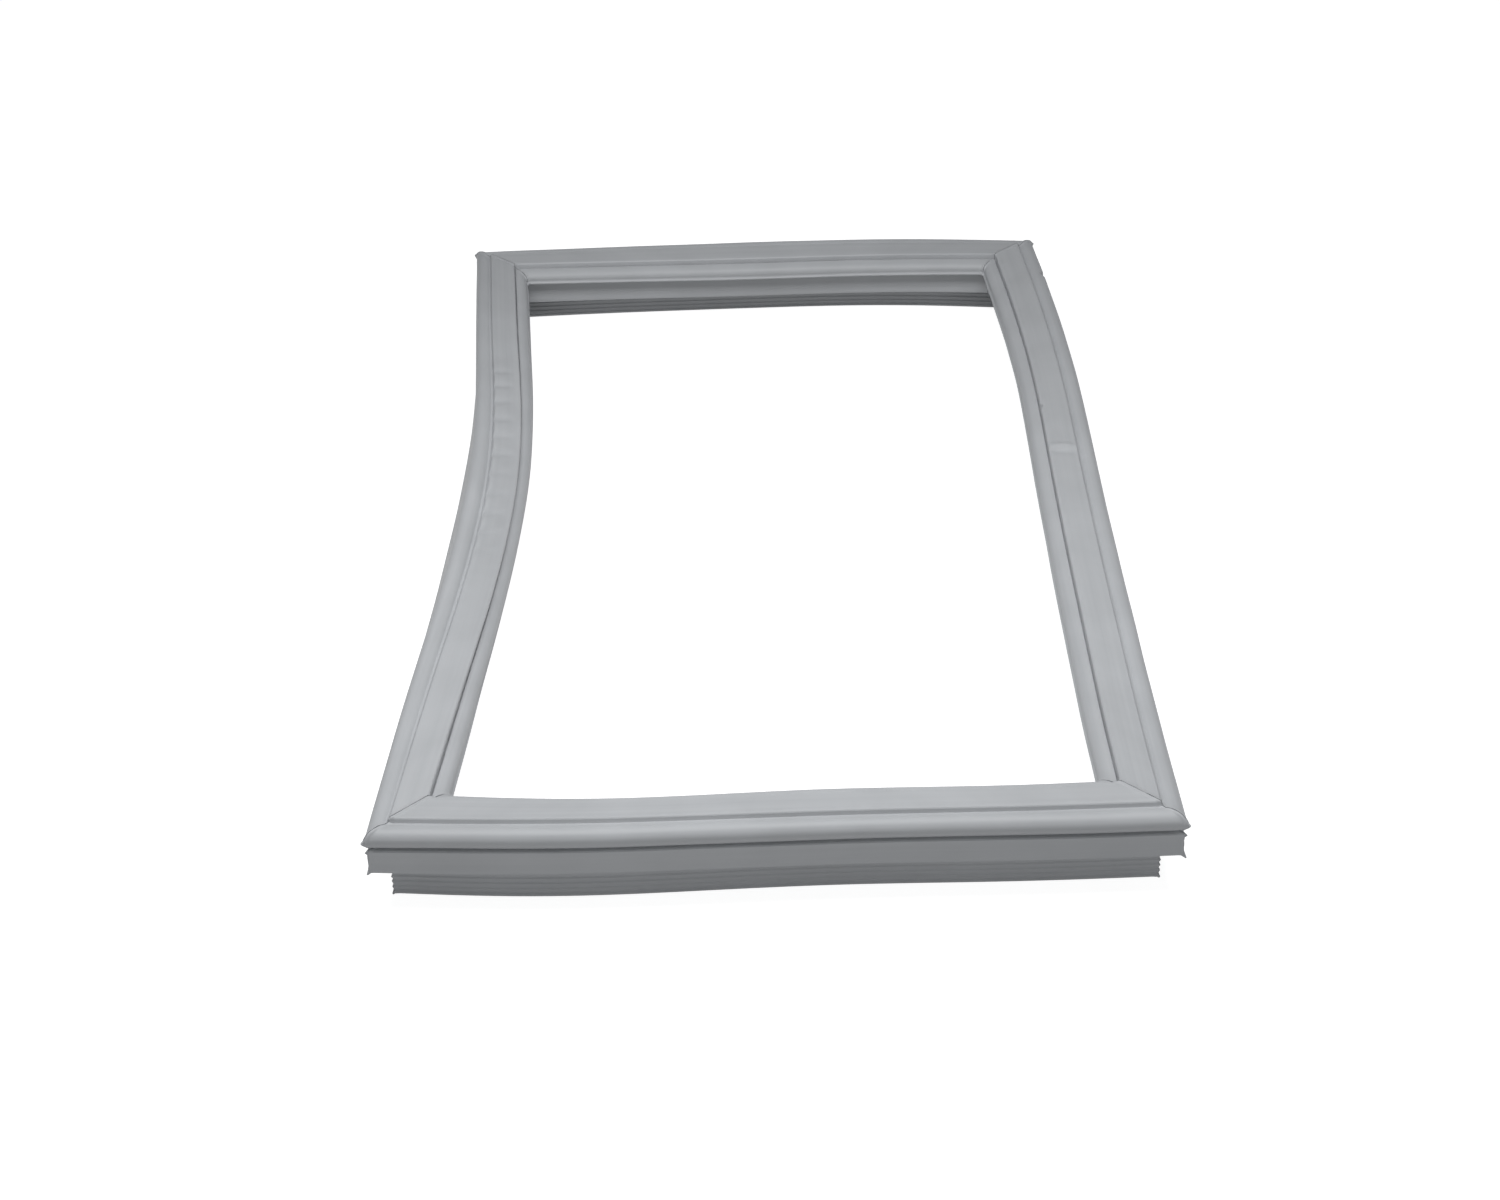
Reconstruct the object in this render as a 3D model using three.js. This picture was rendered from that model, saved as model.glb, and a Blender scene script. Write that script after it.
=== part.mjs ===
// Refrigerator door gasket: four lengths of one hollow vinyl extrusion, mitred and welded into a frame,
// each with a flexible magnet strip in its pocket. Millimetres, +Z up, lying on its dart, magnet face up.
// The origin is at the middle of the outside, on the surface that the gasket lies on.

import * as THREE from "three";

// Size of the frame, between the centre lines of the magnet pockets
const FRAME_WIDTH = 250;
const FRAME_LENGTH = 454;

// Magnet strip, and the pocket that holds it
const MAGNET_WIDTH = 10;
const MAGNET_THICKNESS = 3.5;
const MAGNET_SETBACK = 6;
const POCKET_CLEARANCE = 0.3;
const BAND_WALL = 0.8;
const BAND_EDGE_RADIUS = 0.4;

// Grooves between the magnet band and the bulbs, where the wall is thin enough to flex
const GROOVE_WIDTH = 0.9;
const OUTER_GROOVE_DEPTH = 1.8;
const INNER_GROOVE_DEPTH = 3.2;

// Air bulbs beside the pocket: the outer one stands higher, the inner one is flatter and ends in a ledge
const WALL = 0.9;
const BULB_SIDES = 8;
const OUTER_BULB_REACH = 14.1;
const OUTER_BULB_DROP = 4.6;
const OUTER_BULB_HALF_WIDTH = 4.1;
const OUTER_BULB_HALF_HEIGHT = 3.6;
const OUTER_BULB_START = -55;
const OUTER_BULB_END = 125;
const INNER_BULB_REACH = 12.3;
const INNER_BULB_DROP = 5.9;
const INNER_BULB_HALF_WIDTH = 4.8;
const INNER_BULB_HALF_HEIGHT = 3;
const INNER_BULB_START = 82;
const INNER_BULB_END = 192;
const INNER_HOLLOW_SHIFT = 1.3;
const LEDGE_REACH = 12.9;
const LEDGE_DROP = 7.6;
const LEDGE_THICKNESS = 0.6;
const LEDGE_FALL = 0.7;

// Bellows chamber and the two flat skirts that hide its walls
const BELLOWS_HEIGHT = 8.8;
const CREASE_DEPTH = 2.2;
const CREASE_GAP = 0.2;
const OUTER_SKIRT_REACH = 13.2;
const INNER_SKIRT_REACH = 9;
const SKIRT_WALL = 1.1;
const SKIRT_EDGE = 0.5;
const OUTER_LIP = 1.6;
const INNER_LIP = 3.8;
const LIP_FLARE = 0.3;
const INNER_LIP_EDGE = 0.9;

// Flange that lies on the door, and the ribbed dart that is pushed into the door's slot
const FLANGE_THICKNESS = 1.2;
const DART_OFFSET = 2.8;
const DART_WIDTH = 8.8;
const DART_DEPTH = 15.8;
const DART_WALL = 1.3;
const NOSE_EDGE = 0.4;
const FIRST_RIB = 1.45;
const RIB_DEPTH = 0.55;
const RIB_PITCH = 2.2;
const RIB_SLOPE = 1.65;
const RIB_COUNT = 5;

// Welded mitres: a thin weld line, with the skin squeezed out on both sides of it
const WELD_LINE = 0.3;
const BEAD_HEIGHT = 0.3;
const BEAD_WIDTH = 0.8;

// How each length lies, seen from outside the frame: an arch, an S and a ripple over its run.
// Bows are in millimetres outwards. Leans are in degrees, and a negative one tips the magnet face inwards.
const FRONT_BOW = [2.4, 1.6, 1.1];
const FRONT_LEAN = [-0.8, -1.2, -0.8];
const RIGHT_BOW = [1.8, -2.1, 0.3];
const RIGHT_LEAN = [2.1, 0.4, 0];
const BACK_BOW = [6.3, 1.1, 0.5];
const BACK_LEAN = [-6.3, -0.4, 0];
const LEFT_BOW = [-3.3, -3.7, -0.4];
const LEFT_LEAN = [-21.5, 6.9, 2.7];
const SHORT_SPANS = 7;
const LONG_SPANS = 10;

// Heights of the section above the surface, from the foot of the dart to the magnet face
const chamberFloor = DART_DEPTH + FLANGE_THICKNESS;
const chamberRoof = chamberFloor + BELLOWS_HEIGHT;
const pocketFloor = chamberRoof + WALL;
const pocketRoof = pocketFloor + MAGNET_THICKNESS + 2 * POCKET_CLEARANCE;
const magnetFace = pocketRoof + BAND_WALL;

// Places across the section, outwards from the middle of the magnet
const pocketHalf = MAGNET_WIDTH / 2 + POCKET_CLEARANCE;
const bandHalf = pocketHalf + BAND_WALL;
const grooveMiddle = bandHalf + GROOVE_WIDTH / 2;
const outerBulb = {
  t: OUTER_BULB_REACH - OUTER_BULB_HALF_WIDTH,
  h: magnetFace - OUTER_BULB_DROP,
  halfWidth: OUTER_BULB_HALF_WIDTH,
  halfHeight: OUTER_BULB_HALF_HEIGHT,
};
const innerBulb = {
  t: INNER_BULB_HALF_WIDTH - INNER_BULB_REACH,
  h: magnetFace - INNER_BULB_DROP,
  halfWidth: INNER_BULB_HALF_WIDTH,
  halfHeight: INNER_BULB_HALF_HEIGHT,
};
const outerSkirtTop = outerBulb.h - outerBulb.halfHeight - CREASE_GAP;
const ledgeTop = magnetFace - LEDGE_DROP;
const innerSkirtTop = ledgeTop - LEDGE_THICKNESS - LEDGE_FALL;
const dartHalf = DART_WIDTH / 2;
const noseHalf = dartHalf - NOSE_EDGE;

const radians = THREE.MathUtils.degToRad;

// Points [t, h] on an arc of an ellipse, between two angles in degrees
function arc(ellipse, from, to, sides) {
  const points = [];
  for (let i = 0; i <= sides; i++) {
    const angle = radians(from + ((to - from) * i) / sides);
    const t = ellipse.t + ellipse.halfWidth * Math.cos(angle);
    const h = ellipse.h + ellipse.halfHeight * Math.sin(angle);
    points.push([t, h]);
  }
  return points;
}

// One side of the dart, from its nose up to the flange: saw-toothed ribs that widen upwards and step back in
function dartSide(side) {
  const at = (reach, h) => [DART_OFFSET + side * reach, h];
  const root = dartHalf - RIB_DEPTH;
  const points = [at(noseHalf, 0), at(dartHalf, NOSE_EDGE), at(dartHalf, FIRST_RIB - NOSE_EDGE)];
  for (let i = 0; i < RIB_COUNT; i++) {
    const foot = FIRST_RIB + i * RIB_PITCH;
    points.push(at(root, foot));
    points.push(at(dartHalf, foot + RIB_SLOPE));
  }
  points.push(at(root, FIRST_RIB + RIB_COUNT * RIB_PITCH));
  points.push(at(root, DART_DEPTH));
  return points;
}

// Outline of the outer half, upwards: lip, flat skirt, crease, fat bulb and groove
function outerSide() {
  const toe = DART_DEPTH - OUTER_LIP;
  return [
    [OUTER_SKIRT_REACH - SKIRT_WALL, DART_DEPTH],
    [OUTER_SKIRT_REACH + LIP_FLARE - SKIRT_WALL, toe],
    [OUTER_SKIRT_REACH + LIP_FLARE, toe],
    [OUTER_SKIRT_REACH, DART_DEPTH + FLANGE_THICKNESS],
    [OUTER_SKIRT_REACH, outerSkirtTop - SKIRT_EDGE],
    [OUTER_SKIRT_REACH - SKIRT_EDGE, outerSkirtTop],
    [OUTER_SKIRT_REACH - CREASE_DEPTH, outerSkirtTop + SKIRT_EDGE / 2],
    ...arc(outerBulb, OUTER_BULB_START, OUTER_BULB_END, BULB_SIDES + 1),
    [grooveMiddle, magnetFace - OUTER_GROOVE_DEPTH],
    [bandHalf, magnetFace - BAND_EDGE_RADIUS],
    [bandHalf - BAND_EDGE_RADIUS, magnetFace],
  ];
}

// Outline of the inner half, downwards: groove, flat bulb that flares into a ledge, skirt and longer lip
function innerSide() {
  const toe = DART_DEPTH - INNER_LIP;
  return [
    [BAND_EDGE_RADIUS - bandHalf, magnetFace],
    [-bandHalf, magnetFace - BAND_EDGE_RADIUS],
    [-grooveMiddle, magnetFace - INNER_GROOVE_DEPTH],
    ...arc(innerBulb, INNER_BULB_START, INNER_BULB_END, BULB_SIDES - 2),
    [-LEDGE_REACH, ledgeTop],
    [-LEDGE_REACH, ledgeTop - LEDGE_THICKNESS],
    [-INNER_SKIRT_REACH - SKIRT_EDGE, innerSkirtTop],
    [-INNER_SKIRT_REACH, innerSkirtTop - SKIRT_EDGE],
    [-INNER_SKIRT_REACH, DART_DEPTH - SKIRT_WALL],
    [-INNER_SKIRT_REACH - LIP_FLARE, toe],
    [-INNER_SKIRT_REACH - LIP_FLARE + INNER_LIP_EDGE, toe],
    [-INNER_SKIRT_REACH + SKIRT_WALL, DART_DEPTH],
  ];
}

// Holes that run through the extrusion: magnet pocket, two bulbs, bellows chamber and dart
function chambers() {
  const pocket = [
    [-pocketHalf, pocketFloor],
    [pocketHalf, pocketFloor],
    [pocketHalf, pocketRoof],
    [-pocketHalf, pocketRoof],
  ];
  const outerHollow = {
    ...outerBulb,
    halfWidth: outerBulb.halfWidth - WALL,
    halfHeight: outerBulb.halfHeight - WALL,
  };
  const innerHollow = {
    t: innerBulb.t - INNER_HOLLOW_SHIFT,
    h: innerBulb.h,
    halfWidth: innerBulb.halfWidth - INNER_HOLLOW_SHIFT - WALL,
    halfHeight: innerBulb.halfHeight - 1.4 * WALL,
  };
  const outer = arc(outerHollow, 0, 360, BULB_SIDES);
  const inner = arc(innerHollow, 0, 360, BULB_SIDES);
  outer.pop();
  inner.pop();
  const outerWall = OUTER_SKIRT_REACH - SKIRT_WALL;
  const innerWall = SKIRT_WALL - INNER_SKIRT_REACH;
  const outerEaves = outerSkirtTop - SKIRT_EDGE - WALL / 2;
  const innerEaves = innerSkirtTop - SKIRT_EDGE;
  const bellows = [
    [innerWall, chamberFloor],
    [outerWall, chamberFloor],
    [outerWall, outerEaves - SKIRT_EDGE],
    [outerWall - CREASE_DEPTH, outerEaves],
    [outerWall - 2 * CREASE_DEPTH, outerEaves + WALL / 4],
    [pocketHalf, chamberRoof],
    [-pocketHalf, chamberRoof],
    [innerWall + SKIRT_EDGE, innerEaves + SKIRT_EDGE],
    [innerWall, innerEaves],
  ];
  const dartHollow = dartHalf - RIB_DEPTH - DART_WALL;
  const dart = [
    [DART_OFFSET - dartHollow + DART_WALL / 2, DART_WALL],
    [DART_OFFSET + dartHollow - DART_WALL / 2, DART_WALL],
    [DART_OFFSET + dartHollow, DART_WALL + DART_WALL / 2],
    [DART_OFFSET + dartHollow, DART_DEPTH - WALL],
    [DART_OFFSET - dartHollow, DART_DEPTH - WALL],
    [DART_OFFSET - dartHollow, DART_WALL + DART_WALL / 2],
  ];
  return [pocket, outer, inner, bellows, dart];
}

// The section of the extrusion, and that of the strip in its pocket
const extrusion = {
  outline: [...dartSide(1), ...outerSide(), ...innerSide(), ...dartSide(-1).reverse()],
  holes: chambers(),
};
const stripFloor = pocketFloor + POCKET_CLEARANCE;
const magnetStrip = {
  outline: [
    [-MAGNET_WIDTH / 2, stripFloor],
    [MAGNET_WIDTH / 2, stripFloor],
    [MAGNET_WIDTH / 2, stripFloor + MAGNET_THICKNESS],
    [-MAGNET_WIDTH / 2, stripFloor + MAGNET_THICKNESS],
  ],
  holes: [],
};

// Value of an arch, an S and a ripple at u, which runs from 0 to 1 along a length
function wave([arch, ess, ripple], u) {
  const turn = Math.PI * u;
  return arch * Math.sin(turn) + ess * Math.sin(2 * turn) + ripple * Math.sin(3 * turn);
}

// Place of a section point [t, h] at u along a length, whose run is on X and whose outside looks along -Y.
// The ends fan out to 45 degrees, and the lower corner of the dart stays on the surface.
function placePoint(length, { u, swell }, [t, h]) {
  const swollen = 1 + (swell * BEAD_HEIGHT) / OUTER_SKIRT_REACH;
  const across = DART_OFFSET + (t - DART_OFFSET) * swollen;
  const up = h * (1 + (swell * BEAD_HEIGHT) / magnetFace);
  const lean = radians(wave(length.lean, u));
  const lift = Math.max((DART_OFFSET - noseHalf) * Math.sin(lean), (DART_OFFSET + noseHalf) * Math.sin(lean));
  const run = (2 * u - 1) * (length.reach + across - WELD_LINE * Math.SQRT1_2);
  const out = across * Math.cos(lean) + up * Math.sin(lean) + wave(length.bow, u);
  return [run, -out, up * Math.cos(lean) - across * Math.sin(lean) + lift];
}

// Stations between two ends, at the same places for the extrusion and its strip
function innerStations(length) {
  const stations = [];
  for (let i = 1; i < length.spans; i++) stations.push({ u: i / length.spans, swell: 0 });
  return stations;
}

// Stations of the extrusion, with the squeezed bead of the weld at each end
function extrusionStations(length) {
  const run = 2 * length.reach;
  const bead = BEAD_WIDTH / run;
  const foot = (BEAD_WIDTH + BEAD_HEIGHT) / run;
  const start = [{ u: 0, swell: 1 }, { u: bead, swell: 1 }, { u: foot, swell: 0 }];
  const end = start.map(({ u, swell }) => ({ u: 1 - u, swell })).reverse();
  return [...start, ...innerStations(length), ...end];
}

// Stations of the magnet strip, which stops short of the welds
function stripStations(length) {
  const setback = MAGNET_SETBACK / (2 * length.reach);
  return [{ u: setback, swell: 0 }, ...innerStations(length), { u: 1 - setback, swell: 0 }];
}

// A closed body: the section swept through the stations, with a mitred cap at each end.
// Outlines and holes all run anticlockwise, so that a strip and its pocket twist alike.
function sweep(length, section, stations) {
  const rings = [section.outline, ...section.holes];
  const points = rings.flat();
  const ringAt = (station) => points.flatMap((point) => placePoint(length, station, point));
  const positions = stations.flatMap(ringAt);
  const [outline, ...holes] = rings.map((ring) => ring.map(([t, h]) => new THREE.Vector2(t, h)));
  const faces = [];
  const last = (stations.length - 1) * points.length;
  for (const [a, b, c] of THREE.ShapeUtils.triangulateShape(outline, holes)) {
    faces.push(a, b, c);
    faces.push(last + c, last + b, last + a);
  }
  for (let s = 0; s < stations.length - 1; s++) {
    let first = s * points.length;
    for (const ring of rings) {
      for (let i = 0; i < ring.length; i++) {
        const near = [first + i, first + ((i + 1) % ring.length)];
        const [a, b] = near;
        const [c, d] = near.map((index) => index + points.length);
        if (ring === section.outline) faces.push(b, a, c, b, c, d);
        else faces.push(a, b, c, c, b, d);
      }
      first += ring.length;
    }
  }
  const geometry = new THREE.BufferGeometry();
  geometry.setAttribute("position", new THREE.Float32BufferAttribute(positions, 3));
  geometry.setIndex(faces);
  geometry.computeVertexNormals();
  return geometry;
}

// Soft grey vinyl, and dark ferrite rubber
function vinyl() {
  return new THREE.MeshStandardMaterial({ color: 0xb3b6b9, roughness: 0.5, metalness: 0 });
}

function ferriteRubber() {
  return new THREE.MeshStandardMaterial({ color: 0x2e2a28, roughness: 0.8, metalness: 0 });
}

// One side of the frame: its length of extrusion and the strip inside it
function frameSide(length) {
  const extruded = new THREE.Mesh(sweep(length, extrusion, extrusionStations(length)), vinyl());
  const strip = new THREE.Mesh(sweep(length, magnetStrip, stripStations(length)), ferriteRubber());
  extruded.name = `profile_${length.name}`;
  strip.name = `magnet_${length.name}`;
  const side = new THREE.Group();
  side.add(extruded, strip);
  side.position.set(...length.place, 0);
  side.rotation.z = radians(length.turn);
  return side;
}

const halfWidth = FRAME_WIDTH / 2;
const halfLength = FRAME_LENGTH / 2;
const short = { reach: halfWidth, spans: SHORT_SPANS };
const long = { reach: halfLength, spans: LONG_SPANS };
const lengths = [
  { name: "front", ...short, place: [0, -halfLength], turn: 0, bow: FRONT_BOW, lean: FRONT_LEAN },
  { name: "right", ...long, place: [halfWidth, 0], turn: 90, bow: RIGHT_BOW, lean: RIGHT_LEAN },
  { name: "back", ...short, place: [0, halfLength], turn: 180, bow: BACK_BOW, lean: BACK_LEAN },
  { name: "left", ...long, place: [-halfWidth, 0], turn: 270, bow: LEFT_BOW, lean: LEFT_LEAN },
];

const frame = new THREE.Group();
for (const length of lengths) frame.add(frameSide(length));

// The origin goes to the middle of the outside
const middle = new THREE.Box3().setFromObject(frame).getCenter(new THREE.Vector3());
frame.position.set(-middle.x, -middle.y, 0);

const gasket = new THREE.Group();
gasket.add(frame);

export default gasket;
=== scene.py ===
import math

import bmesh
import bpy
from mathutils import Matrix, Vector, noise


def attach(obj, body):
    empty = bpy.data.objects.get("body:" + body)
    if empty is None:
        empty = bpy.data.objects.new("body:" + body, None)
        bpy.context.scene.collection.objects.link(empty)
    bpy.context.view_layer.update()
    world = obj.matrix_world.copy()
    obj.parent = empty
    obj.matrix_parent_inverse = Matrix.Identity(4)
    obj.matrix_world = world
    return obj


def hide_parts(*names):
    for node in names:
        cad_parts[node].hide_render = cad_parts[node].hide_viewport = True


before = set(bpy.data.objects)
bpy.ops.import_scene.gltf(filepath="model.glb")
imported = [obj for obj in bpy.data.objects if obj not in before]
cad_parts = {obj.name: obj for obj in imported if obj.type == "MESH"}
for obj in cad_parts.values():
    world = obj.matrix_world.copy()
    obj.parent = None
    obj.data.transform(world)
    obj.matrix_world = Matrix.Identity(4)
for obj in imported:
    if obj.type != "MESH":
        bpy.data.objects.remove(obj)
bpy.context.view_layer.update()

# Camera
# It stands over the near short side and looks down at the loose gasket, as in the photograph.
# Its place is taken from the middle of the pocket rectangle, whose corners were matched one by one.
MM = 0.001
pocket_middle = Vector((-1.957, -0.687, 0)) * MM
camera_data = bpy.data.cameras.new("camera")
camera_data.sensor_fit = "HORIZONTAL"
camera_data.sensor_width = 36
camera_data.lens = 60
camera = bpy.data.objects.new("camera", camera_data)
bpy.context.scene.collection.objects.link(camera)
looking_down = math.radians(31.85)
looking_right = math.radians(0.19)
tipped = math.radians(-1.13)
camera.matrix_world = (
    Matrix.Translation(pocket_middle + Vector((-9.45, -915.42, 539.49)) * MM)
    @ Matrix.Rotation(-looking_right, 4, "Z")
    @ Matrix.Rotation(math.pi / 2 - looking_down, 4, "X")
    @ Matrix.Rotation(tipped, 4, "Z")
)
bpy.context.scene.camera = camera

# The extruded profile
# All four lengths are cut from one hollow profile of soft grey PVC, drawn through a die.
# From the top: a magnet band between two grooves, air bulbs, a bellows chamber behind skirts, and a dart.
# Section places are given as reach outwards and height, in millimetres.
half_width = 125
half_length = 227
magnet_face = 31.6
band_half = 6.1
groove_middle = 6.55
outer_groove = magnet_face - 1.8
inner_groove = magnet_face - 3.2
flange_height = 15.8
dart_offset = 2.8
dart_half = 4.4
first_rib = 1.45
rib_depth = 0.55
rib_pitch = 2.2
rib_slope = 1.65
rib_count = 5
nose_edge = 0.4
nose_half = dart_half - nose_edge
outer_reach = 13.2
inner_reach = 9.0
skirt_wall = 1.1


def arc(middle, half_reach, half_height, start, end, sides):
    reach, height = middle
    angles = [math.radians(start + (end - start) * i / sides) for i in range(sides + 1)]
    return [(reach + half_reach * math.cos(a), height + half_height * math.sin(a)) for a in angles]


def dart_side(side):
    """One flank of the dart from its nose up: slanting ribs that grip the slot in the door."""
    root = dart_half - rib_depth
    points = [(nose_half, 0), (dart_half, nose_edge), (dart_half, first_rib - nose_edge)]
    for rib in range(rib_count):
        foot = first_rib + rib * rib_pitch
        points += [(root, foot), (dart_half, foot + rib_slope)]
    points += [(root, first_rib + rib_count * rib_pitch), (root, flange_height)]
    return [(dart_offset + side * reach, height) for reach, height in points]


outer_bulb = (10.0, magnet_face - 4.6)
inner_bulb = (-7.3, magnet_face - 5.9)
skirt_top = 23.2
outer_side = [
    (outer_reach - skirt_wall, flange_height),
    (outer_reach + 0.3 - skirt_wall, flange_height - 1.6),
    (outer_reach + 0.3, flange_height - 1.6),
    (outer_reach, flange_height + 1.2),
    (outer_reach, skirt_top - 1.6),
    (outer_reach + 0.2, skirt_top - 0.4),
    (outer_reach - 0.3, skirt_top),
    (outer_reach - 1.2, skirt_top + 0.1),
    (outer_reach - 2.2, skirt_top + 0.3),
    *arc(outer_bulb, 4.1, 3.6, -55, 130, 26),
    (groove_middle + 0.2, outer_groove + 0.05),
    (groove_middle - 0.1, outer_groove + 0.05),
    (band_half, magnet_face - 0.4),
    (band_half - 0.4, magnet_face),
]
inner_side = [
    (0.4 - band_half, magnet_face),
    (-band_half - 0.15, magnet_face - 0.4),
    (0.15 - groove_middle, inner_groove + 0.05),
    (-groove_middle, inner_groove + 0.05),
    *arc(inner_bulb, 4.95, 3.5, 84, 188, 20),
    (-12.2, 24.9),
    (-12.35, 24.5),
    (-12.6, 24.2),
    (-12.95, 24.0),
    (-12.95, 23.45),
    (-inner_reach - 0.6, 22.75),
    (-inner_reach, 22.2),
    (-inner_reach, flange_height - skirt_wall),
    (-inner_reach - 0.3, flange_height - 3.8),
    (-inner_reach + 0.6, flange_height - 3.8),
    (-inner_reach + skirt_wall, flange_height),
]
outline = [*dart_side(1), *outer_side, *inner_side, *reversed(dart_side(-1))]
pocket = [(-5.3, 26.7), (5.3, 26.7), (5.3, 30.8), (-5.3, 30.8)]
outer_hollow = arc(outer_bulb, 3.2, 2.7, 0, 330, 11)
inner_hollow = arc((inner_bulb[0] - 1.3, inner_bulb[1]), 2.6, 1.7, 0, 330, 11)
bellows_floor = [(-7.9, 17), (12.1, 17), (12.1, 21.7)]
bellows_roof = [(9.9, 22.3), (7.8, 22.5), (5.3, 25.8), (-5.3, 25.8), (-7.4, 22.7), (-7.9, 22.2)]
bellows = bellows_floor + bellows_roof
dart_hollow = [(0.9, 1.3), (4.7, 1.3), (5.35, 1.95), (5.35, 14.9), (0.25, 14.9), (0.25, 1.95)]
chambers = [pocket, outer_hollow, inner_hollow, bellows, dart_hollow]

# How each length lies, seen from outside: an arch, an S and a ripple over its run, in millimetres
# outwards, and the same three for its lean in degrees, where a negative one tips the band inwards.
weld_line = 0.2
lengths = {
    "front": dict(
        reach=half_width, turn=0, stations=150,
        bow=(2.4, 1.6, 1.1), lean=(-0.8, -1.2, -0.8),
    ),
    "right": dict(
        reach=half_length, turn=90, stations=290,
        bow=(1.8, -2.1, 0.3), lean=(2.1, 0.4, 0),
    ),
    "back": dict(
        reach=half_width, turn=180, stations=130,
        bow=(6.3, 1.1, 0.5), lean=(-6.3, -0.4, 0),
    ),
    "left": dict(
        reach=half_length, turn=270, stations=330,
        bow=(-3.3, -3.7, -0.4), lean=(-21.5, 6.9, 2.7),
    ),
}


def wave(terms, u):
    return sum(term * math.sin((k + 1) * math.pi * u) for k, term in enumerate(terms))


def clamped(value):
    return max(0, min(1, value))


def soft_bump(distance, width):
    return math.exp(-((distance / width) ** 2))


def slack(seed, run, scale):
    """Slow waves of a loose length, from -1 to 1, a few times the scale long."""
    return noise.noise(Vector((run / scale, seed * 7.31, seed * 3.77)))


def station_places(length):
    """Places of the stations along a run from 0 to 1, close together at the welds."""
    bead = [0, 0.35, 0.7, 0.95, 1.2, 1.6, 2.4]
    run = 2 * length["reach"]
    middle_count = length["stations"] - 2 * len(bead)
    first, last = 3.6 / run, 1 - 3.6 / run
    middle = [first + (last - first) * i / middle_count for i in range(middle_count + 1)]
    ends = [b / run for b in bead]
    return [*ends, *middle, *[1 - e for e in reversed(ends)]]


# The marks of use: places along the run from 0 to 1, and heights or depths in millimetres.
wrinkle_first = 0.235
wrinkle_last = 0.665
wrinkle_spacing = 0.0345
wrinkle_fade = 0.06
swelling_place = 0.513
kink_place = 0.545
kink_height = 1.3
nick_place = 0.92
nick_depth = 1.7
notch_place = 0.632
notch_depth = 1.1
scuff_depth = 0.4
scuffs = (("front", 0.42, 1.5), ("front", 0.453, -2.5), ("back", 0.197, 6))


def section_at(name, u, t, h):
    """The section point moved by the slack and the marks of use that the gasket has there."""
    length = lengths[name]
    whole_run = 2 * length["reach"]
    run = whole_run * u
    ends = min(1, min(run, whole_run - run) / 25)
    top = clamped((h - 14) / 10)
    outside = clamped((t - 7) / 4)
    inside = clamped((-t - 7) / 3)
    seed = len(name) + length["turn"] / 90
    t += ends * top * 0.3 * slack(seed, run, 80)
    rise = 0.15 * slack(seed + 5, run, 60) + 0.25 * outside * slack(seed + 9, run, 50)
    h += ends * top * rise
    t += ends * outside * 0.25 * slack(seed + 3, run, 45)
    t -= ends * inside * 0.2 * slack(seed + 4, run, 50)
    if name == "left":
        t, h = left_creases(u, t, h)
    if name == "right":
        t, h = right_marks(run, whole_run, t, h)
    for scuffed, place, reach in scuffs:
        if name == scuffed:
            scuff = soft_bump(run - whole_run * place, 1.5) * soft_bump(t - reach, 1.4)
            h -= scuff_depth * scuff * clamped(h - 30)
    return t, h


def left_creases(u, t, h):
    """Wrinkles across the band, and a swelling of the bulb, where the length is pushed inwards."""
    run = 2 * half_length * u
    band = clamped((h - 25) / 5)
    across = clamped((t + 3.5) / 4) * clamped(6.5 - t)
    zone = clamped((u - wrinkle_first) / wrinkle_fade) * clamped((wrinkle_last - u) / wrinkle_fade)
    slanted = u - 0.0017 * t + 0.006 * slack(2, run, 30)
    phase = (slanted - wrinkle_first) / wrinkle_spacing
    to_fold = (phase - round(phase)) * wrinkle_spacing * 2 * half_length
    depth = 1.0 + 0.35 * slack(4, run, 22)
    h += zone * band * across * depth * (0.5 - soft_bump(to_fold, 2.9))
    on_bulb = clamped((t - 8) / 3) * clamped((h - 23) / 3)
    swelling = soft_bump(run - 2 * half_length * swelling_place, 5.5) * on_bulb
    return t + 0.2 * swelling, h + 0.35 * swelling


def right_marks(run, whole_run, t, h):
    """A raised kink across the band, a nick in the outer bulb and a notch at the inner groove."""
    to_kink = run - whole_run * kink_place + 0.12 * t
    kink = kink_height * soft_bump(to_kink, 2.0) - 0.7 * soft_bump(to_kink + 4.2, 2.2)
    h += kink * clamped((h - 29) / 2) * soft_bump(t, 6)
    nick = soft_bump(run - whole_run * nick_place, 1.5) * soft_bump(t - 13.8, 1.8)
    t -= nick_depth * nick
    notch = soft_bump(run - whole_run * notch_place, 1.3) * soft_bump(t + 6.1, 0.8)
    return t + notch_depth * notch * clamped(h - 29.6), h


def placed(name, u, t, h, swell):
    """A point of the section at u along a length, in metres in the frame's own place."""
    length = lengths[name]
    t, h = section_at(name, u, t, h)
    t = dart_offset + (t - dart_offset) * (1 + swell / outer_reach)
    h = max(0, h * (1 + swell / magnet_face))
    lean = math.radians(wave(length["lean"], u))
    nose = (dart_offset - nose_half, dart_offset + nose_half)
    lift = max(reach * math.sin(lean) for reach in nose)
    along = (2 * u - 1) * (length["reach"] + t - weld_line)
    out = t * math.cos(lean) + h * math.sin(lean) + wave(length["bow"], u)
    up = h * math.cos(lean) - t * math.sin(lean) + lift
    from_middle = half_length if name in ("front", "back") else half_width
    turn = Matrix.Rotation(math.radians(length["turn"]), 3, "Z")
    return pocket_middle + turn @ Vector((along, -out - from_middle, max(0, up))) * MM


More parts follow.
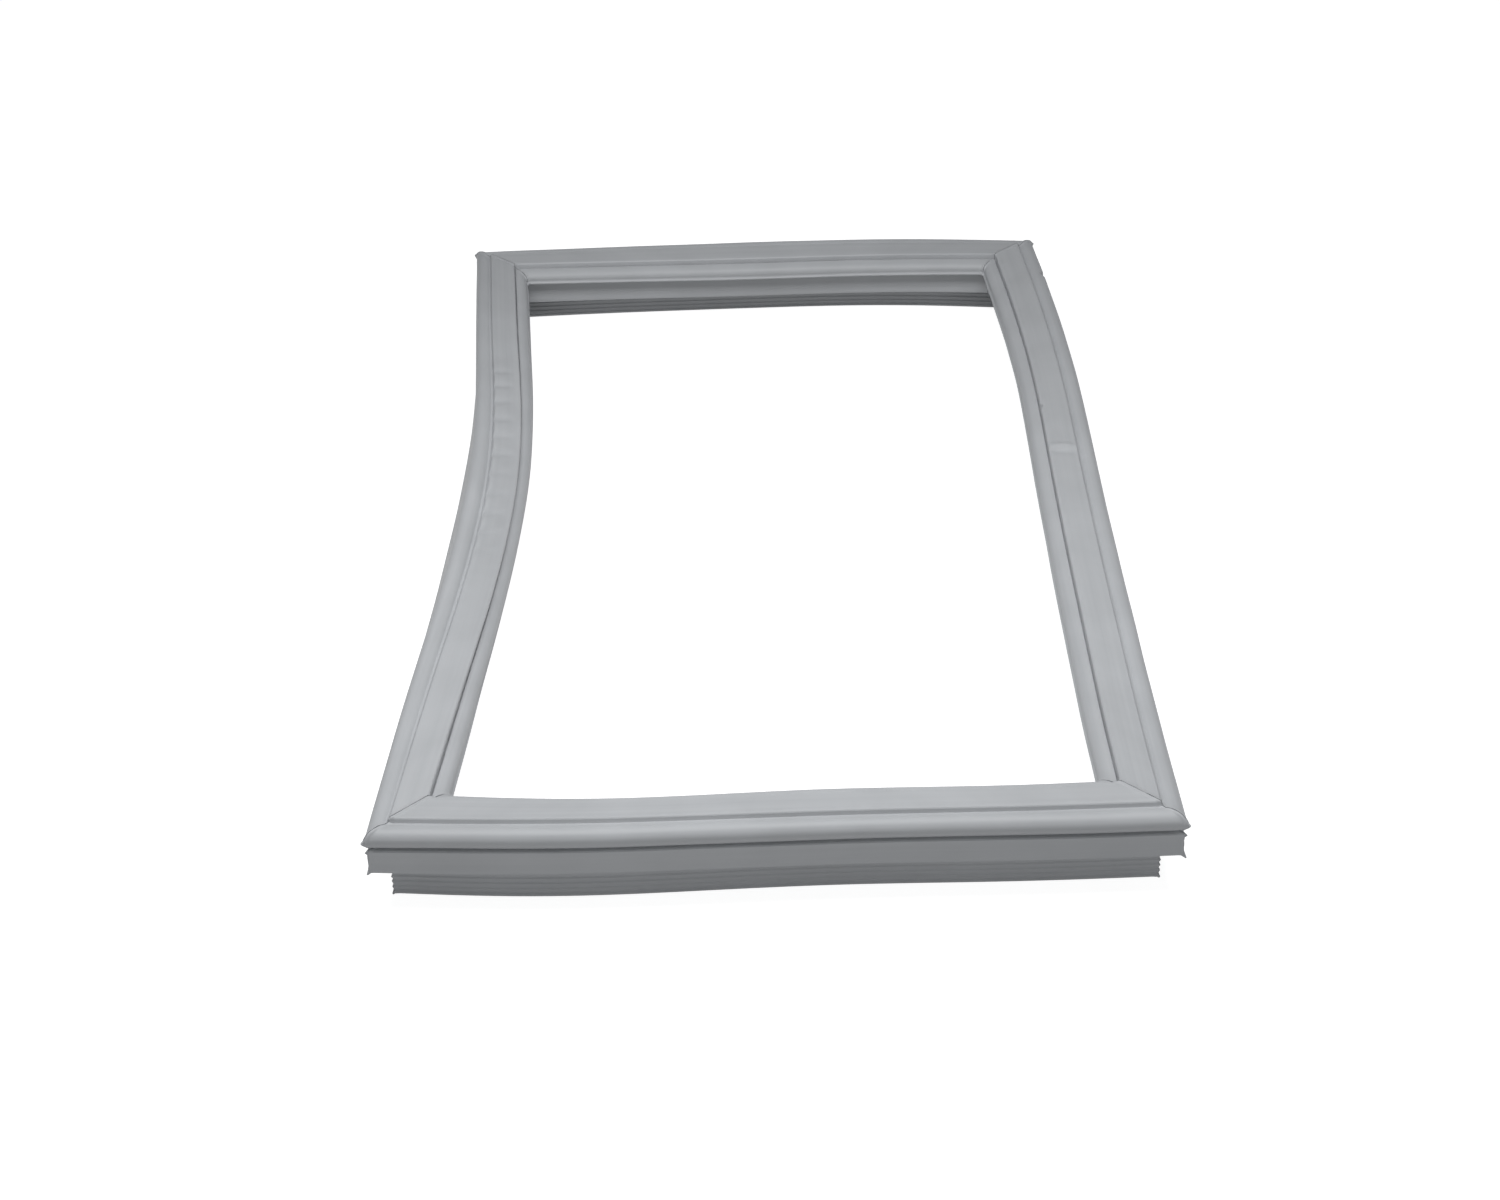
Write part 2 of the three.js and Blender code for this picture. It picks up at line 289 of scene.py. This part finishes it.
def section_rings(bm):
    """The outline, its corners rounded and its flats split, and the chambers, as loops of edges."""
    verts = [bm.verts.new((0, t, h)) for t, h in outline]
    face = bm.faces.new(verts)
    sharp = [v for v in verts if v.calc_edge_angle(0) > math.radians(24)]
    bmesh.ops.bevel(
        bm, geom=sharp, offset=0.24, offset_type="OFFSET", segments=2, profile=0.5,
        affect="VERTICES", clamp_overlap=True, material=-1,
    )
    bmesh.ops.delete(bm, geom=bm.faces[:], context="FACES_ONLY")
    longest = 1.6
    flats = [e for e in bm.edges if e.calc_length() > longest + 0.1]
    for edge in flats:
        cuts = math.ceil(edge.calc_length() / longest) - 1
        bmesh.ops.subdivide_edges(bm, edges=[edge], cuts=cuts)
    for ring in chambers:
        corners = [bm.verts.new((0, t, h)) for t, h in ring]
        for i, corner in enumerate(corners):
            bm.edges.new((corners[i - 1], corner))


def extruded_length(name):
    """One length: the section filled, drawn out, cut into stations and laid as it lies."""
    length = lengths[name]
    places = station_places(length)
    bm = bmesh.new()
    section_rings(bm)
    bmesh.ops.triangle_fill(bm, use_beauty=True, edges=bm.edges[:])
    drawn = bmesh.ops.extrude_face_region(bm, geom=bm.faces[:])
    far_end = [v for v in drawn["geom"] if isinstance(v, bmesh.types.BMVert)]
    bmesh.ops.translate(bm, vec=(1, 0, 0), verts=far_end)
    bmesh.ops.recalc_face_normals(bm, faces=bm.faces[:])
    long_edges = [e for e in bm.edges if abs(e.verts[0].co.x - e.verts[1].co.x) > 0.5]
    bmesh.ops.subdivide_edges(bm, edges=long_edges, cuts=len(places) - 2, use_grid_fill=True)
    as_drawn = bm.verts.layers.float_vector.new("as_drawn")
    for edge in bm.edges:
        at_end = all(v.co.x < 1e-5 or v.co.x > 1 - 1e-5 for v in edge.verts)
        edge.smooth = not at_end
    for face in bm.faces:
        face.smooth = True
    for vert in bm.verts:
        u = places[round(vert.co.x * (len(places) - 1))]
        t, h = vert.co.y, vert.co.z
        to_weld = 2 * length["reach"] * min(u, 1 - u)
        uneven = 0.4 + 0.2 * noise.noise(Vector((t * 0.5, h * 0.5, length["turn"])))
        swell = uneven * max(0, min(1, (1.3 - to_weld) / 0.5))
        vert[as_drawn] = Vector((2 * length["reach"] * u, t, h)) * MM
        vert.co = placed(name, u, t, h, swell)
    bmesh.ops.recalc_face_normals(bm, faces=bm.faces[:])
    mesh = bpy.data.meshes.new(f"length_{name}")
    bm.to_mesh(mesh)
    bm.free()
    piece = bpy.data.objects.new(f"length_{name}", mesh)
    bpy.context.scene.collection.objects.link(piece)
    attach(piece, "root")
    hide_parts(f"profile_{name}")
    return piece


def add_nodes(tree, **kinds):
    return {name: tree.nodes.new(kind) for name, kind in kinds.items()}


def drawn_streaks():
    """Node group: the faint lines along the run that the die leaves."""
    group = bpy.data.node_groups.new("drawn streaks", "ShaderNodeTree")
    for label in ("Place", "Fineness"):
        kind = "NodeSocketVector" if label == "Place" else "NodeSocketFloat"
        group.interface.new_socket(label, in_out="INPUT", socket_type=kind)
    group.interface.new_socket("Streak", in_out="OUTPUT", socket_type="NodeSocketFloat")
    nodes = add_nodes(
        group, inp="NodeGroupInput", out="NodeGroupOutput",
        stretch="ShaderNodeMapping", field="ShaderNodeTexNoise",
    )
    nodes["stretch"].inputs["Scale"].default_value = (0.012, 1, 1)
    nodes["field"].inputs["Detail"].default_value = 3
    nodes["field"].inputs["Roughness"].default_value = 0.6
    group.links.new(nodes["inp"].outputs["Place"], nodes["stretch"].inputs["Vector"])
    group.links.new(nodes["stretch"].outputs[0], nodes["field"].inputs["Vector"])
    group.links.new(nodes["inp"].outputs["Fineness"], nodes["field"].inputs["Scale"])
    group.links.new(nodes["field"].outputs["Fac"], nodes["out"].inputs["Streak"])
    return group


def soft_vinyl(streaks):
    """Soft PVC: neutral grey, matt with a dull sheen, slightly mottled by handling and by talc."""
    material = bpy.data.materials.new("soft_grey_vinyl")
    material.use_nodes = True
    tree = material.node_tree
    shader = tree.nodes["Principled BSDF"]
    n = add_nodes(
        tree, place="ShaderNodeAttribute", streak="ShaderNodeGroup", fine="ShaderNodeGroup",
        clouds="ShaderNodeTexNoise", grain="ShaderNodeTexNoise", shade="ShaderNodeMix",
        cloud_shade="ShaderNodeMix", rough="ShaderNodeMapRange", relief="ShaderNodeBump",
        pebble="ShaderNodeBump", contrast="ShaderNodeMapRange",
    )
    n["place"].attribute_name = "as_drawn"
    n["streak"].node_tree = streaks
    n["streak"].inputs["Fineness"].default_value = 420
    n["fine"].node_tree = streaks
    n["fine"].inputs["Fineness"].default_value = 1900
    n["clouds"].inputs["Scale"].default_value = 46
    n["clouds"].inputs["Detail"].default_value = 4
    n["grain"].inputs["Scale"].default_value = 2600
    n["grain"].inputs["Detail"].default_value = 2
    for mix in ("shade", "cloud_shade"):
        n[mix].data_type = "RGBA"
    n["shade"].inputs["A"].default_value = (0.395, 0.408, 0.425, 1)
    n["shade"].inputs["B"].default_value = (0.47, 0.482, 0.497, 1)
    n["cloud_shade"].blend_type = "MULTIPLY"
    n["cloud_shade"].inputs["Factor"].default_value = 1
    n["contrast"].inputs["From Min"].default_value = 0.3
    n["contrast"].inputs["From Max"].default_value = 0.7
    n["contrast"].inputs["To Min"].default_value = 0.93
    n["contrast"].inputs["To Max"].default_value = 1.0
    n["rough"].inputs["To Min"].default_value = 0.42
    n["rough"].inputs["To Max"].default_value = 0.6
    n["relief"].inputs["Strength"].default_value = 0.25
    n["relief"].inputs["Distance"].default_value = 0.0001
    n["pebble"].inputs["Strength"].default_value = 0.2
    n["pebble"].inputs["Distance"].default_value = 0.00004
    link = tree.links.new
    for reader in ("streak", "fine"):
        link(n["place"].outputs["Vector"], n[reader].inputs["Place"])
    for reader in ("clouds", "grain"):
        link(n["place"].outputs["Vector"], n[reader].inputs["Vector"])
    link(n["streak"].outputs["Streak"], n["shade"].inputs["Factor"])
    link(n["clouds"].outputs["Fac"], n["contrast"].inputs["Value"])
    link(n["shade"].outputs["Result"], n["cloud_shade"].inputs["A"])
    link(n["contrast"].outputs["Result"], n["cloud_shade"].inputs["B"])
    link(n["cloud_shade"].outputs["Result"], shader.inputs["Base Color"])
    link(n["clouds"].outputs["Fac"], n["rough"].inputs["Value"])
    link(n["rough"].outputs["Result"], shader.inputs["Roughness"])
    link(n["fine"].outputs["Streak"], n["relief"].inputs["Height"])
    link(n["grain"].outputs["Fac"], n["pebble"].inputs["Height"])
    link(n["relief"].outputs["Normal"], n["pebble"].inputs["Normal"])
    link(n["pebble"].outputs["Normal"], shader.inputs["Normal"])
    shader.inputs["Specular IOR Level"].default_value = 0.4
    return material


vinyl = soft_vinyl(drawn_streaks())
for name in lengths:
    extruded_length(name).data.materials.append(vinyl)

# The welded corners
# Each mitre is melted on a hot plate and pushed together, which swells both ends and squeezes out a fin.
# The fin is trimmed roughly: it is sunk between the ends, and a tip stands proud at each outer edge.
weld_half = 0.3
sunk = 0.8
tips = ((14.2, 27), (13.3, 23), (13.5, 14.2), (7.2, 0.3), (-13, 24))


def weld(name, corner, seed):
    """The fin in one mitre, a shrunken section with its outer points drawn out into tips."""
    bm = bmesh.new()
    verts = [bm.verts.new((0, t, h)) for t, h in outline]
    face = bm.faces.new(verts)
    middle = face.calc_center_median()
    bmesh.ops.inset_region(
        bm, faces=[face], thickness=sunk, use_boundary=True, use_even_offset=False,
    )
    rim = {v for v in bm.verts if any(e.is_boundary for e in v.link_edges)}
    inner = [f for f in bm.faces if not any(v in rim for v in f.verts)]
    bmesh.ops.delete(bm, geom=[f for f in bm.faces if f not in inner], context="FACES")
    for vert in bm.verts:
        proud = 0.25 * noise.noise(vert.co * 0.6 + Vector((seed * 5.1, 0, 0)))
        for t, h in tips:
            near_tip = soft_bump(math.hypot(vert.co.y - t, vert.co.z - h), 1.1)
            tip_height = 0.8 + 0.4 * noise.noise(Vector((seed * 3.3, t, h)))
            proud += tip_height * near_tip
        vert.co += (vert.co - middle).normalized() * proud
    drawn = bmesh.ops.extrude_face_region(bm, geom=bm.faces[:])
    far_side = [v for v in drawn["geom"] if isinstance(v, bmesh.types.BMVert)]
    bmesh.ops.translate(bm, vec=(1, 0, 0), verts=far_side)
    as_drawn = bm.verts.layers.float_vector.new("as_drawn")
    side_x, side_y = corner
    across = Vector((side_x, -side_y, 0)).normalized() * weld_half
    for vert in bm.verts:
        side, t, h = vert.co
        vert[as_drawn] = Vector((seed * 40 + side, t, h)) * MM
        spot = Vector((side_x * (half_width + t), side_y * (half_length + t), max(0.05, h)))
        vert.co = pocket_middle + (spot + (2 * side - 1) * across) * MM
    bmesh.ops.recalc_face_normals(bm, faces=bm.faces[:])
    mesh = bpy.data.meshes.new(f"weld_{name}")
    bm.to_mesh(mesh)
    bm.free()
    mesh.materials.append(vinyl)
    piece = bpy.data.objects.new(f"weld_{name}", mesh)
    bpy.context.scene.collection.objects.link(piece)
    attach(piece, "root")


corners = {
    "front_left": (-1, -1),
    "front_right": (1, -1),
    "back_right": (1, 1),
    "back_left": (-1, 1),
}
for number, (name, corner) in enumerate(corners.items()):
    weld(name, corner, number + 1)

# The magnet strips
# A strip of ferrite powder in rubber lies loose in the pocket of each length, short of the welds.
# It is rolled flat, slit to width and left dull and nearly black. The frame holds its true shape.


def ferrite_rubber():
    material = bpy.data.materials.new("ferrite_rubber")
    material.use_nodes = True
    tree = material.node_tree
    shader = tree.nodes["Principled BSDF"]
    n = add_nodes(
        tree, place="ShaderNodeTexCoord", speck="ShaderNodeTexNoise", shade="ShaderNodeMix",
        rough="ShaderNodeMapRange", relief="ShaderNodeBump",
    )
    n["speck"].inputs["Scale"].default_value = 900
    n["speck"].inputs["Detail"].default_value = 3
    n["shade"].data_type = "RGBA"
    n["shade"].inputs["A"].default_value = (0.02, 0.017, 0.015, 1)
    n["shade"].inputs["B"].default_value = (0.045, 0.04, 0.037, 1)
    n["rough"].inputs["To Min"].default_value = 0.7
    n["rough"].inputs["To Max"].default_value = 0.9
    n["relief"].inputs["Distance"].default_value = 0.00005
    link = tree.links.new
    link(n["place"].outputs["Object"], n["speck"].inputs["Vector"])
    link(n["speck"].outputs["Fac"], n["shade"].inputs["Factor"])
    link(n["shade"].outputs["Result"], shader.inputs["Base Color"])
    link(n["speck"].outputs["Fac"], n["rough"].inputs["Value"])
    link(n["rough"].outputs["Result"], shader.inputs["Roughness"])
    link(n["speck"].outputs["Fac"], n["relief"].inputs["Height"])
    link(n["relief"].outputs["Normal"], shader.inputs["Normal"])
    return material


ferrite = ferrite_rubber()
for name in lengths:
    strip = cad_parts[f"magnet_{name}"]
    for slot in strip.material_slots:
        slot.material = ferrite

# The floor and the light
# The gasket lies on a white sweep under one soft light, with a low fill from the front and the room.
# The floor glows for the camera, so that it reads as white and still takes a soft contact shadow.
floor_size = 6
floor_mesh = bpy.data.meshes.new("floor")
floor_bm = bmesh.new()
bmesh.ops.create_grid(floor_bm, x_segments=1, y_segments=1, size=floor_size / 2)
floor_bm.to_mesh(floor_mesh)
floor_bm.free()
floor = bpy.data.objects.new("floor", floor_mesh)
bpy.context.scene.collection.objects.link(floor)
white = bpy.data.materials.new("white_sweep")
white.use_nodes = True
floor_tree = white.node_tree
floor_shader = floor_tree.nodes["Principled BSDF"]
floor_shader.inputs["Base Color"].default_value = (0.42, 0.42, 0.42, 1)
floor_shader.inputs["Roughness"].default_value = 0.9
f = add_nodes(
    floor_tree, path="ShaderNodeLightPath", seen="ShaderNodeMath",
    through="ShaderNodeMath", glow="ShaderNodeMath",
)
f["seen"].operation = "ADD"
f["through"].operation = "ADD"
f["through"].use_clamp = True
f["glow"].operation = "MULTIPLY"
f["glow"].inputs[1].default_value = 0.88
floor_tree.links.new(f["path"].outputs["Is Camera Ray"], f["seen"].inputs[0])
floor_tree.links.new(f["path"].outputs["Is Glossy Ray"], f["seen"].inputs[1])
floor_tree.links.new(f["seen"].outputs[0], f["through"].inputs[0])
floor_tree.links.new(f["path"].outputs["Is Transmission Ray"], f["through"].inputs[1])
floor_tree.links.new(f["through"].outputs[0], f["glow"].inputs[0])
floor_shader.inputs["Emission Color"].default_value = (1, 1, 1, 1)
floor_tree.links.new(f["glow"].outputs[0], floor_shader.inputs["Emission Strength"])
floor_mesh.materials.append(white)

world = bpy.data.worlds.new("room")
bpy.context.scene.world = world
world.use_nodes = True
world.node_tree.nodes["Background"].inputs["Color"].default_value = (0.97, 0.985, 1, 1)
world.node_tree.nodes["Background"].inputs["Strength"].default_value = 0.25


def softbox(name, place, aim, size, power):
    data = bpy.data.lights.new(name, "AREA")
    data.shape = "RECTANGLE"
    data.size, data.size_y = size
    data.energy = power
    lamp = bpy.data.objects.new(name, data)
    bpy.context.scene.collection.objects.link(lamp)
    facing = (Vector(aim) - Vector(place)).to_track_quat("-Z", "Y")
    lamp.matrix_world = Matrix.Translation(place) @ facing.to_matrix().to_4x4()


softbox("overhead_softbox", (-0.04, -0.14, 0.56), (-0.04, -0.14, 0), (0.7, 0.22), 3.2)
softbox("low_front_softbox", (0, -1.1, 0.3), (0, -0.2, 0), (0.9, 0.2), 1.3)
bpy.context.scene.view_settings.view_transform = "Standard"
